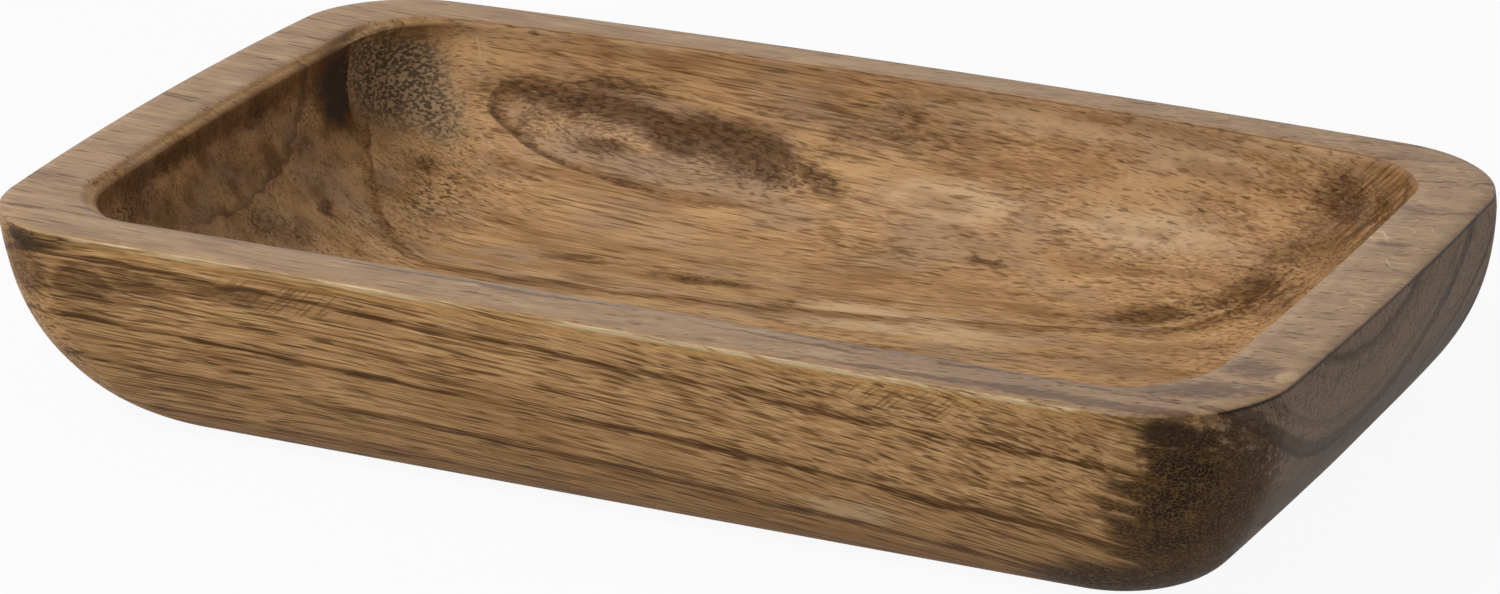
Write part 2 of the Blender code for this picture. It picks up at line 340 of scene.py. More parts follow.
def carve_tray(material):
    """The finished tray as a plain mesh. The stations and their modifier are gone afterwards."""
    rows = carved_stations()
    stations = bpy.data.objects.new("carved_tray_stations", station_points(rows))
    bpy.context.scene.collection.objects.link(stations)
    loft = stations.modifiers.new("carved_loft", "NODES")
    loft.node_group = loft_tree()
    sizes = {"Columns": COLUMNS, "Rows": len(rows), "Corner column share": CORNER_COLUMN_SHARE,
             **TOOL_MARKS, "Seed": TOOL_MARK_SEED, "Wood": material}
    for socket in loft.node_group.interface.items_tree:
        if socket.name in sizes:
            loft[socket.identifier] = sizes[socket.name]
    bpy.context.view_layer.update()
    evaluated = stations.evaluated_get(bpy.context.evaluated_depsgraph_get())
    tray = bpy.data.objects.new("dressed_tray", bpy.data.meshes.new_from_object(evaluated))
    bpy.context.scene.collection.objects.link(tray)
    bpy.data.objects.remove(stations)
    return tray


def linear(colour):
    """An sRGB hex colour as the linear values that a shader takes."""
    parts = [int(colour[place:place + 2], 16) / 255 for place in (1, 3, 5)]
    parts = [part / 12.92 if part <= 0.04045 else ((part + 0.055) / 1.055) ** 2.4 for part in parts]
    return parts + [1.0]


# The bare wood, the stain in it, and what polishing, sanding, wear and damp have made of them; some of
# these colours also paint shade and highlights
WOOD_TAN, WOOD_PALE, WOOD_UMBER = "#b58b5d", "#d5ab77", "#825a30"
STAIN_AND_SHADE_BROWN, PORE_BROWN, DAMP_BROWN, SOAKED_BROWN = "#5b3a18", "#3c260f", "#3a2410", "#1f1206"
POLISHED_GOLD, WORN_GOLD, WORN_PALE = "#76522c", "#cb9c5c", "#ecd2a6"
SCUFF_AND_HIGHLIGHT_PALE, SCUFFED_GREY = "#d6b58c", "#a68a70"
RIM_GREY, STREAK_GREY = "#988474", "#574237"
END_GREY, END_BAND_AND_SHADE, END_GRAIN_LINE = "#84766a", "#332a24", "#8a683e"
MOTTLE_GREY, MOTTLE_AND_SHADE_BLACK, MOTTLE_TAN = "#8b7860", "#29231f", "#ad9270"

# The tree's pith ran above the tray, askew to its length and a little bent. The growth rings are
# drawn round it: radius in mm, width of the dark late wood in mm, how dark outside and in the hollow
PITH = (0.0, -34.7, 134.8)
TREE_LEAN = (0.0, -0.0566, 0.0721)
TREE_BEND = (0.0, -0.000511, 0.000370)
RING_SPAN = (70.0, 150.0)
RINGS = ((78, 1.2, 0.35, 0.0), (94.7, 1.4, 0.8, 0.1), (110.4, 1.0, 1.0, 0.0), (117.2, 1.0, 0.3, 0.0),
         (122.2, 1.0, 1.0, 0.2), (130.4, 1.3, 0.7, 0.2), (138.4, 1.1, 0.4, 0.8))
# Late wood darkens slowly and stops sharply: place in its widths, how dark as a line and as a band
LATE_WOOD = ((-2.8, 0.0, 0.0), (-1.0, 0.2, 0.65), (0.0, 1.0, 1.0), (0.55, 0.0, 0.0))

# Places on the wood, in mm: middle, half-sizes, strength and, where the place is turned, its turns
# about the cross axis and the vertical in degrees
# Stains, and some painted shade: in the back right corner's upper wall and at the front left corner. The
# left end wall is darker just under its rim
DARK_STAINS_AND_SHADE = (
    # The left end wall
    ((-132, -45, 42), (8, 15, 8), 0.6), ((-133, -24, 43.5), (8, 36, 4), 0.8),
    ((-136, -58, 44.5), (10, 22, 6), 0.8), ((-134, 12, 43), (9, 34, 5), 0.8),
    ((-121, -9, 22), (9, 10, 6), 0.5), ((-116, 0, 18.5), (8, 7, 4), 0.5),
    ((-117, 16, 18.5), (2.8, 6, 4), 1.0),
    # The back left corner
    ((-106, 74, 34), (6, 9, 12), 0.35), ((-111, 54, 19), (8, 9, 6), 0.5), ((-94, 72, 28), (8, 9, 5), 0.4),
    # Round the oval figure
    ((-83, 75, 33), (30, 12, 5.4), 0.85, (3, 0)), ((-70, 77, 37), (26, 10, 3.6), 0.6),
    ((-60, 74, 30.5), (18, 10, 4), 1.0, (10, 0)), ((-56, 74, 27.5), (13, 10, 4.5), 0.9, (8, 0)),
    ((-73, 70, 24), (11, 10, 2.6), 0.6), ((-40, 75, 28), (26, 12, 7), 1.0, (10, 0)),
    ((-33, 71, 23), (18, 10, 4), 0.7, (6, 0)), ((-20, 73, 24), (17, 12, 4.5), 0.6, (14, 0)),
    # The back wall
    ((-30, 78, 36), (18, 7, 4), 0.4), ((-17, 76, 30), (10, 7, 4), 0.4), ((-14, 77, 33), (11, 7, 5), 0.5),
    ((0, 78, 35), (28, 8, 5), 0.45, (4, 0)), ((-1, 79.5, 40), (17, 6, 4), 0.45, (4, 0)),
    ((5, 80, 44), (18, 5, 2.4), 0.3), ((16, 79, 37.5), (22, 6, 4), 0.3, (4, 0)),
    # The back right corner
    ((108, 75, 38), (11, 9, 10), 0.75, (0, 20)), ((119.5, 70.5, 38), (6, 7, 9), 0.6),
    ((97, 69, 26), (20, 9, 12), 0.4, (0, 40)), ((93, 64, 18), (15, 9, 8), 0.55, (0, 40)),
    ((82, 58, 15), (30, 7, 9), 0.4, (0, 22)), ((71, 53, 12), (20, 7, 5), 0.85, (0, 20)),
    # The floor
    ((27, 62, 15), (9, 1.5, 3), 0.95), ((0, 60, 14.5), (24, 6, 4), 0.4), ((-62, 34, 11), (20, 5, 4), 0.5),
    ((-30, 33, 11), (17, 5, 4), 0.7), ((-5, 29, 11), (9, 6, 4), 0.4),
    # The front wall
    ((-133, -87, 38), (13, 12, 12), 0.9), ((-117, -90, 37), (13, 8, 7), 1.0),
    ((-119, -89.5, 30), (12, 8, 5), 0.5), ((-103, -90.5, 39.5), (17, 8, 5), 0.7),
    ((-80, -90.5, 40.5), (27, 8, 3.4), 0.65), ((107, -90, 29), (7, 6, 6), 0.35),
)
SPECKLED_PLACES = (
    ((-104, 46, 15), (12, 24, 10), 1.0), ((-97, 29, 12.5), (9, 12, 5), 0.6),
    ((80, 56, 15), (36, 8, 10), 1.0, (0, 22)), ((55, 44, 12), (24, 6, 6), 0.6, (0, 15)),
    ((-122, -6, 22), (12, 16, 7), 0.7), ((-131, -52, 40), (10, 22, 9), 0.8),
    ((-130, 36, 38), (10, 16, 13), 0.8), ((128, -88, 38), (22, 14, 16), 0.7),
    ((100, 74, 36), (16, 10, 8), 0.4, (0, 20)), ((30, 79, 39), (50, 8, 7), 0.3),
    ((62, 68, 22), (34, 10, 8), 0.5),
)
# The damp, soaked front right corner. The entries low down, near z = 2 mm, are partly painted shade where
# the corner's foot meets the floor
DAMP_CORNER_AND_FOOT_SHADE = (((145, -86, 19), (40, 42, 42), 1.0), ((123, -84, 2), (36, 20, 16), 0.9))
SOAKED_STAINS_AND_FOOT_SHADE = (
    ((133, -86.5, 43.4), (14, 9, 4.2), 1.0, (17, 0)), ((135.5, -85.5, 36), (12, 10, 5), 1.0, (22, 0)),
    ((132.5, -86, 28), (10, 10, 6.5), 0.7), ((145, -74, 36), (9, 11, 3.6), 0.4),
    ((126, -78, 2), (40, 26, 16), 1.0), ((132, -84, 18.5), (12, 12, 8), 0.6),
    ((-130, -91, 45.6), (19, 9, 3.4), 1.0, (-5, 0)),
)
# Stain and painted shade in the gouge's crease and on its left side
CREASE_STAIN_AND_SHADE = (((-131, 48, 38), (12, 20, 15), 1.2), ((-129.5, 42, 33), (9, 11, 10), 1.1))
# Painted shade over the left end wall and the back right corner's upper walls, and real browning on the
# front rim's right part (the first entry)
PAINTED_SHADE_AND_BROWNING_PLACES = (
    ((92, -84, 48), (50, 9, 4), 0.45), ((-134, -2, 40), (20, 56, 20), 0.25),
    ((119, 71, 38), (15, 14, 15), 1.0), ((108, 68, 28), (15, 14, 12), 0.7),
    ((97, 61, 18), (18, 13, 10), 0.8),
)
FIBROUS_CORNER = (((119, 71, 39), (22, 16, 18), 1.2), ((99, 62, 20), (16, 12, 10), 1.0))
MOTTLED_CORNER = (
    ((-124, 61, 37), (16, 17, 17), 1.0), ((-121, 66, 36), (15, 15, 15), 1.0),
    ((-116, 66, 30), (11, 12, 9), 1.0), ((-111, 64, 25.5), (11, 10, 6), 0.7),
)
# Pale scuffs, and painted highlights: low on the back wall, along the back mouth and the rims' inner
# edges, and on the floor
SCUFFS_AND_HIGHLIGHTS_PLACES = (
    ((15, 72, 24), (28, 8, 8), 0.8), ((62, 72, 24), (36, 8, 8), 0.65), ((35, 80, 43), (50, 6, 6), 0.6),
    ((-109, 76, 40), (9, 10, 14), 0.3), ((76, 79, 39), (26, 8, 7), 0.6),
    ((92, 78, 45.5), (28, 6, 3.5), 0.7), ((-65, 79, 46.5), (19, 5, 3), 0.6),
    ((-20, 86, 48), (140, 8, 4), 0.35), ((-72, 71, 26), (24, 9, 4.5), 0.35, (4, 0)),
    ((-40, 50, 12), (60, 16, 5), 0.35), ((22, 27, 11), (48, 12, 6), 0.8, (0, 4)),
    ((5, -78.2, 48), (100, 1.8, 3), 0.6), ((62, -84, 14), (22, 8, 5), 0.6),
)
RIM_STREAKS = (
    ((-138, -79, 48), (11, 1.8, 4), 0.7), ((-123, -75, 48), (13, 1.8, 4), 0.6),
    ((-26, -79.8, 48), (60, 1.1, 5), 0.8), ((48, -81.8, 48), (40, 1.2, 5), 0.7, (0, -3)),
    ((74, -88.2, 48), (34, 1.8, 4), 0.8), ((108, -87, 48), (34, 3.2, 5), 1.0),
    ((128, -86.5, 48), (16, 3, 5), 0.9, (0, 12)), ((131, -72, 48), (22, 9, 4), 0.8, (0, 20)),
    ((144, -66, 48), (8, 3, 4), 0.7), ((138, -56, 48), (12, 10, 4), 0.7, (0, -10)),
    ((140, -34, 48), (11, 2, 4), 0.5, (0, 5)), ((142, -23, 48), (10, 2, 4), 0.5, (0, 5)),
    ((138, 25, 48), (8, 3, 4), 0.8, (0, 8)), ((134, 48, 48), (16, 7, 4), 0.5, (0, -12)),
    ((-137, 28, 48), (12, 2, 4), 0.4, (0, 8)),
)
TOOL_MARKED_PLACES = (
    ((-67, -91, 42), (27, 8, 5), 1.0), ((76, -91, 43), (24, 8, 4), 1.0),
    ((131, -89, 45.5), (18, 10, 4), 0.9),
)
WORM_TRACKED_PLACES = (
    ((134, 29, 48), (6, 6, 4), 1.0), ((140, 36, 48), (7, 8, 4), 1.0),
    ((143, 15, 48), (7, 5, 4), 0.9), ((145, -8, 48), (5, 13, 4), 0.9),
)
SCRATCHES = (
    ((-109, 76, 41.5), (0.5, 6, 4), 1.0, (-8, 0)), ((-132, -7, 37), (5, 0.6, 3), 1.0),
    ((146, -58, 48), (2.6, 4.5, 3), 1.5),
)
WALL_ARC = ((-130, -9, 48.5), (60, 45, 22))
OVAL_FIGURE = ((-60, 73, 26.5), (46, 30, 10.5), (4, 0))
OVAL_SWELL = 0.07
FALL_ANGLE, STROKE_ANGLE = math.radians(45), math.radians(-48)
PORE_DEPTH = 0.0003


def stained_wood():
    """Open-pored hardwood, carved, sanded, stained brown and oiled. It gives a satin face with
    clouds of gold and brown, thin dark pores, dark late wood, and grey, cloudy end grain."""
    material = bpy.data.materials.new("stained_open_pored_wood")
    material.use_nodes = True
    tree = material.node_tree
    shader = tree.nodes["Principled BSDF"]
    node = functools.partial(add, tree)
    soft = {"interpolation_type": "SMOOTHSTEP"}

    coordinates = node("ShaderNodeTexCoord").outputs
    place = node("ShaderNodeVectorMath:SCALE", {"Vector": coordinates["Object"], "Scale": MM_IN_METRE})
    on_rim, in_hollow, on_arris, on_mouth = (
        node("ShaderNodeAttribute", attribute_name=name).outputs["Fac"]
        for name in ("rim", "hollow", "wear", "mouth"))

    def figure(source, cell, detail=1.0, seed=0.0, output="Fac", **more):
        """Noise whose cells have these sizes in mm along the source's three directions."""
        stretched = node("ShaderNodeMapping", {"Vector": source, "Scale": [1 / size for size in cell],
                                               "Location": (seed, -seed, 2 * seed)})
        return node("ShaderNodeTexNoise", {"Vector": stretched, "Scale": 1.0, "Detail": detail},
                    **more).outputs[output]

    def gathered(start, *parts):
        """How much there is in all: a start, and each part times its weight."""
        total = start
        for weight, part in parts:
            total = node("ShaderNodeMath:MULTIPLY_ADD", (part, weight, total))
        return total

    def shifted(source, by, amounts):
        """The source pushed about by a coloured noise, by up to half these amounts in mm."""
        push = node("ShaderNodeVectorMath:SUBTRACT", (by, (0.5, 0.5, 0.5)))
        return node("ShaderNodeVectorMath:MULTIPLY_ADD", (push, amounts, source))

    # Stains and pale places have ragged outlines
    ragged = shifted(place, figure(place, (8, 4, 4), 2.0, 41.0, "Color"), (8.0, 3.5, 3.5))

    def blot(source, middle, half_sizes, turns=(0, 0)):
        """1 in the middle of an ellipsoid, falling to 0 at its outside."""
        unit = node("ShaderNodeMapping", {
            "Vector": source, "Location": middle, "Scale": half_sizes,
            "Rotation": (0.0, math.radians(turns[0]), math.radians(turns[1]))}, vector_type="TEXTURE")
        return node("ShaderNodeTexGradient", (unit,), gradient_type="SPHERICAL").outputs["Fac"]

    def blots(places, source=ragged, full=0.6):
        """0 outside these places, 1 where the blot of one of them, times its strength, is full."""
        total = 0.0
        for middle, half_sizes, strength, *turns in places:
            part = node("ShaderNodeMath:MULTIPLY", (blot(source, middle, half_sizes, *turns), strength))
            total = node("ShaderNodeMath:MAXIMUM", (total, part))
        return node("ShaderNodeMapRange", (total, 0.0, full), **soft)

    # Fibre frame: x along the tree, the pith at y = z = 0. The fibres wander a little, and swell
    # out round the oval figure in the back wall
    at = node("ShaderNodeSeparateXYZ", (place,)).outputs
    bend = node("ShaderNodeVectorMath:SCALE", {0: TREE_BEND, "Scale": at["X"]})
    slope = node("ShaderNodeVectorMath:ADD", (bend, TREE_LEAN))
    drift = node("ShaderNodeVectorMath:SCALE", {0: slope, "Scale": at["X"]})
    leaned = node("ShaderNodeVectorMath:SUBTRACT", (place, PITH))
    leaned = node("ShaderNodeVectorMath:ADD", (drift, leaned))
    fibre = shifted(leaned, figure(leaned, (80, 34, 34), 1.0, 3.0, "Color"), (0.0, 2.4, 2.4))
    fibre = shifted(fibre, figure(leaned, (14, 6, 6), 0.0, 5.0, "Color"), (0.0, 0.5, 0.5))
    rolling = shifted(place, figure(place, (26, 12, 12), 1.0, 43.0, "Color"), (7.0, 4.0, 4.0))
    oval = blot(rolling, *OVAL_FIGURE)
    swell = node("ShaderNodeMapRange", (oval, 0.0, 1.0, 0.0, OVAL_SWELL), **soft)
    swell = node("ShaderNodeVectorMath:SCALE", {0: fibre, "Scale": swell})
    fibre = node("ShaderNodeVectorMath:MULTIPLY_ADD", (swell, (0.0, 1.0, 1.0), fibre))
    from_pith = node("ShaderNodeVectorMath:MULTIPLY", (fibre, (0.0, 1.0, 1.0)))
    radius = node("ShaderNodeVectorMath:LENGTH", (from_pith,)).outputs["Value"]
    jagged = gathered(-0.9, (1.0, radius), (1.8, figure(fibre, (16, 2.4, 2.4), 2.0, 7.0)))

    # The growth rings are a colour ramp over the radius: red is the late wood's line outside, green
    # and blue are its band, in the hollow and outside. In the hollow the rings show low down and
    # on the left end wall only
    rings = node("ShaderNodeValToRGB", (node("ShaderNodeMapRange", (jagged, *RING_SPAN)),))
    ramp = rings.color_ramp
    ramp.elements[0].position, ramp.elements[1].position = 0.0, 1.0
    ramp.elements[0].color = ramp.elements[1].color = (0.0, 0.0, 0.0, 1.0)
    for ring, width, outside, inside in RINGS:
        for offset, line, band in LATE_WOOD:
            place_on_ramp = (ring + offset * width - RING_SPAN[0]) / (RING_SPAN[1] - RING_SPAN[0])
            stop = ramp.elements.new(place_on_ramp)
            stop.color = (line * outside, band * inside, band * outside, 1.0)
    rings = node("ShaderNodeSeparateColor", (rings,)).outputs
    low = node("ShaderNodeMath:MAXIMUM", (node("ShaderNodeMapRange", (at["Z"], 26.0, 16.0)),
                                         node("ShaderNodeMapRange", (at["X"], -90.0, -105.0))))
    low_ring = node("ShaderNodeMath:MULTIPLY", (rings["Green"], low))
    clusters = figure(fibre, (30, 2.2, 2.2), 2.0, 19.0)
    unbroken = node("ShaderNodeMapRange", (clusters, 0.3, 0.5, 0.5, 1.0))
    ring = node("ShaderNodeMix", (in_hollow, rings["Red"], low_ring))
    ring = node("ShaderNodeMath:MULTIPLY", (ring, unbroken))
    year_tone = figure(node("ShaderNodeCombineXYZ", (jagged,)), (4.5, 1, 1), 2.0, 31.0)

    # Where the surface cuts the fibres end on, outside, in the hollow and at its mouth
    facing = node("ShaderNodeSeparateXYZ", (coordinates["Normal"],)).outputs["X"]
    facing = node("ShaderNodeMath:ABSOLUTE", (facing,))
    off_hollow = gathered(1.0, (-0.9, in_hollow))
    end_face = node("ShaderNodeMapRange", (facing, 0.5, 0.98, 0.0, off_hollow), **soft)
    end_turn = node("ShaderNodeMapRange", (facing, 0.25, 0.6, 0.0, off_hollow))
    end_wall = node("ShaderNodeMapRange", (facing, 0.3, 0.8, 0.0, in_hollow), **soft)
    end_mouth = node("ShaderNodeMapRange", (facing, 0.2, 0.6, 0.0, on_mouth))
    # Painted shade: the end faces darken low down, where they curve under the tray
    painted_low_end_shade = node("ShaderNodeMapRange", (at["Z"], 36.0, 12.0, 0.0, end_face), **soft)
    # Painted shade: the outside darkens towards its foot, where it meets the floor
    painted_foot_shade = node("ShaderNodeMapRange", (at["Z"], 12.0, 1.0, 0.0, off_hollow), **soft)

    # The rim's outer arris is worn pale along the front, between its stained left end and the damp
    # corner, and is dark along the ends
    front = node("ShaderNodeMapRange", (at["Y"], -84.0, -90.0), **soft)
    before_damp = node("ShaderNodeMapRange", (at["X"], 122.0, 112.0, 0.0, front))
    past_stain = node("ShaderNodeMapRange", (at["X"], -138.0, -118.0, 0.0, before_damp))
    front_arris = node("ShaderNodeMath:MULTIPLY", (on_arris, past_stain))
    end_arris = node("ShaderNodeMapRange", (facing, 0.55, 0.8, 0.0, on_arris))

    # The stained, damp, sanded and marked places, and the painted shade and painted highlights. The rim
    # was sanded last, so no stain is on it
    off_rim = node("ShaderNodeMath:SUBTRACT", (1.0, on_rim))
    stain_and_shade, soaked_and_foot_shade, damp_and_foot_shade, speckled = (
        node("ShaderNodeMath:MULTIPLY", (blots(places, full=full), off_rim))
        for places, full in ((DARK_STAINS_AND_SHADE, 0.6), (SOAKED_STAINS_AND_FOOT_SHADE, 0.7), (DAMP_CORNER_AND_FOOT_SHADE, 1.0),
                             (SPECKLED_PLACES, 0.8)))
    near_damp_and_foot_shade = node("ShaderNodeMapRange", (damp_and_foot_shade, 0.0, 0.3, 0.0, off_rim))
    damp_and_foot_shade = gathered(-0.8, (1.0, damp_and_foot_shade), (1.6, figure(fibre, (24, 1.8, 1.8), 3.0, 137.0)))
    damp_and_foot_shade = node("ShaderNodeMapRange", (damp_and_foot_shade, 0.02, 0.55, 0.0, near_damp_and_foot_shade), **soft)
    mottled, fibrous = (node("ShaderNodeMath:MULTIPLY", (blots(places, full=0.7), in_hollow))
                        for places in (MOTTLED_CORNER, FIBROUS_CORNER))
    painted_shade_and_browning, scuffed_and_highlit, streaked, tool_marked, worm_tracked = (
        blots(places) for places in (PAINTED_SHADE_AND_BROWNING_PLACES, SCUFFS_AND_HIGHLIGHTS_PLACES, RIM_STREAKS, TOOL_MARKED_PLACES,
                                     WORM_TRACKED_PLACES))
    scratched = blots(SCRATCHES, rolling)

    # Stain and painted shade lie on the crease's left side only. Dark lines run round the oval figure,
    # faint on its right, and in an arc over the left end wall
    crease = MM_IN_METRE * CREASE_PLACE
    past_crease = node("ShaderNodeMath:MULTIPLY_ADD", (at["Z"], -CREASE_LEAN, at["Y"]))
    past_crease = node("ShaderNodeMapRange", (past_crease, crease + 0.5, crease - 0.3, 0.0, in_hollow))
    crease_stain_and_shade = node("ShaderNodeMath:MULTIPLY", (blots(CREASE_STAIN_AND_SHADE, full=0.9), past_crease))
    oval_edge = node("ShaderNodeMapRange", (oval, 0.17, 0.07))
    oval_line = node("ShaderNodeMapRange", (oval, 0.0, 0.03, 0.0, oval_edge), **soft)
    to_left = node("ShaderNodeMapRange", (at["X"], -40.0, -80.0, 0.3, 0.85))
    oval_line = node("ShaderNodeMath:MULTIPLY", (oval_line, to_left))
    stain_and_shade = node("ShaderNodeMath:MAXIMUM", (stain_and_shade, oval_line))
    crumbled = shifted(place, figure(place, (5, 5, 5), 3.0, 181.0, "Color"), (4.0, 4.0, 4.0))
    arc = blot(crumbled, *WALL_ARC)
    arc_edge = node("ShaderNodeMapRange", (arc, 0.14, 0.02))
    arc_line = node("ShaderNodeMapRange", (arc, 0.0, 0.03, 0.0, arc_edge), **soft)
    to_back = node("ShaderNodeMapRange", (at["Y"], -45.0, -20.0, 0.0, in_hollow))
    arc_line = node("ShaderNodeMath:MULTIPLY", (arc_line, to_back))
    spotted = node("ShaderNodeMath:MULTIPLY", (stain_and_shade, in_hollow))
    spotted = node("ShaderNodeMath:MAXIMUM", (speckled, spotted))

    # Real fibres are about 0.05 mm wide and pores 0.3 mm, too fine to show in a view of the whole
    # tray, so the fibres are drawn 0.4 mm wide and the pores 0.42 to 0.8 mm
    fine = figure(fibre, (60, 0.4, 0.4), 1.0, 11.0)
    grain = figure(fibre, (12, 1.5, 1.5), 2.0, 139.0)
    bands = figure(fibre, (110, 3, 3), 3.0, 13.0)
    clouds = figure(fibre, (46, 18, 18), 2.0, 17.0)
    smudges = figure(fibre, (30, 7, 7), 3.0, 107.0)
    glows = figure(fibre, (34, 9, 9), 3.0, 109.0)
    damp_clouds = figure(fibre, (15, 6, 6), 3.0, 179.0)
    rim_lines = figure(fibre, (34, 1.1, 1.1), 2.0, 157.0)
    worn_lines = figure(fibre, (50, 0.3, 0.3), 1.0, 127.0)
    broken = figure(fibre, (34, 1, 1), 2.0, 37.0)
    end_streaks = figure(fibre, (20, 0.6, 2.0), 1.0, 97.0)
    end_band = gathered(-0.08, (0.3, rings["Blue"]), (1.0, year_tone))
    scuffs_and_highlights = gathered(-0.4, (0.8, scuffed_and_highlit), (0.8, figure(fibre, (30, 2.2, 2.2), 2.0, 167.0)))
    streak_specks = gathered(-0.35, (0.6, streaked), (1.0, figure(fibre, (4, 0.5, 0.5), 1.0, 131.0)))
    smears = gathered(-0.06, (0.75, figure(fibre, (12, 0.9, 0.9), 1.0, 101.0)),
                      (0.4, figure(fibre, (22, 7, 7), 2.0, 103.0)), (0.1, stain_and_shade), (-0.14, end_mouth))

    # Pores hold the dark stain: short dashes along the fibres, dots on end grain. They crowd in
    # late wood and in stained and painted-shade places, and are few on the sanded rim and the hollow's
    # ends
    crowd = gathered(-0.02, (0.24, ring), (0.15, clusters), (-0.12, on_rim), (-0.05, in_hollow),
                     (-0.06, end_wall), (-0.14, end_mouth), (-0.06, scuffed_and_highlit), (-0.05, end_turn))
    long_pores = gathered(crowd, (1.0, figure(fibre, (40, 0.8, 0.45), 0.0, 29.0)), (-0.02, in_hollow))
    pores = gathered(crowd, (1.0, figure(fibre, (9, 0.65, 0.42), 0.0, 23.0)), (0.08, stain_and_shade),
                     (0.06, front_arris))
    flecks = gathered(0.0, (1.0, figure(fibre, (3.2, 0.45, 0.45), 1.0, 53.0)), (0.25, stain_and_shade), (0.25, oval))
    pore_share = gathered(0.7, (-0.15, in_hollow))

    # What doesn't follow the fibres: clouds, dots, cut fibre ends and the marks of tools and worms
    puffs = figure(place, (26, 15, 15), 2.0, 67.0)
    wall_clouds = figure(place, (7, 7, 7), 4.0, 113.0)
    rim_clouds = figure(place, (16, 6, 6), 3.0, 151.0)
    damp_specks = figure(place, (1.2, 0.9, 0.9), 1.0, 163.0)
    dots = figure(place, (2.2, 1.3, 1.0), 1.0, 173.0)
    mottle = figure(place, (1.5, 1.05, 0.7), 1.0, 73.0)
    fallen, struck = (node("ShaderNodeMapping", {"Vector": place, "Rotation": (0.0, angle, 0.0)})
                      for angle in (FALL_ANGLE, STROKE_ANGLE))
    falling = figure(fallen, (14, 3, 0.8), 2.0, 149.0)
    strokes = figure(struck, (0.8, 4.0, 9.0), 0.0, 71.0)
    end_grain_lines = figure(place, (1.4, 0.7, 0.7), 0.0, 83.0, noise_type="RIDGED_MULTIFRACTAL")
    tracks = figure(place, (6, 6, 6), 1.0, 89.0, noise_type="RIDGED_MULTIFRACTAL")

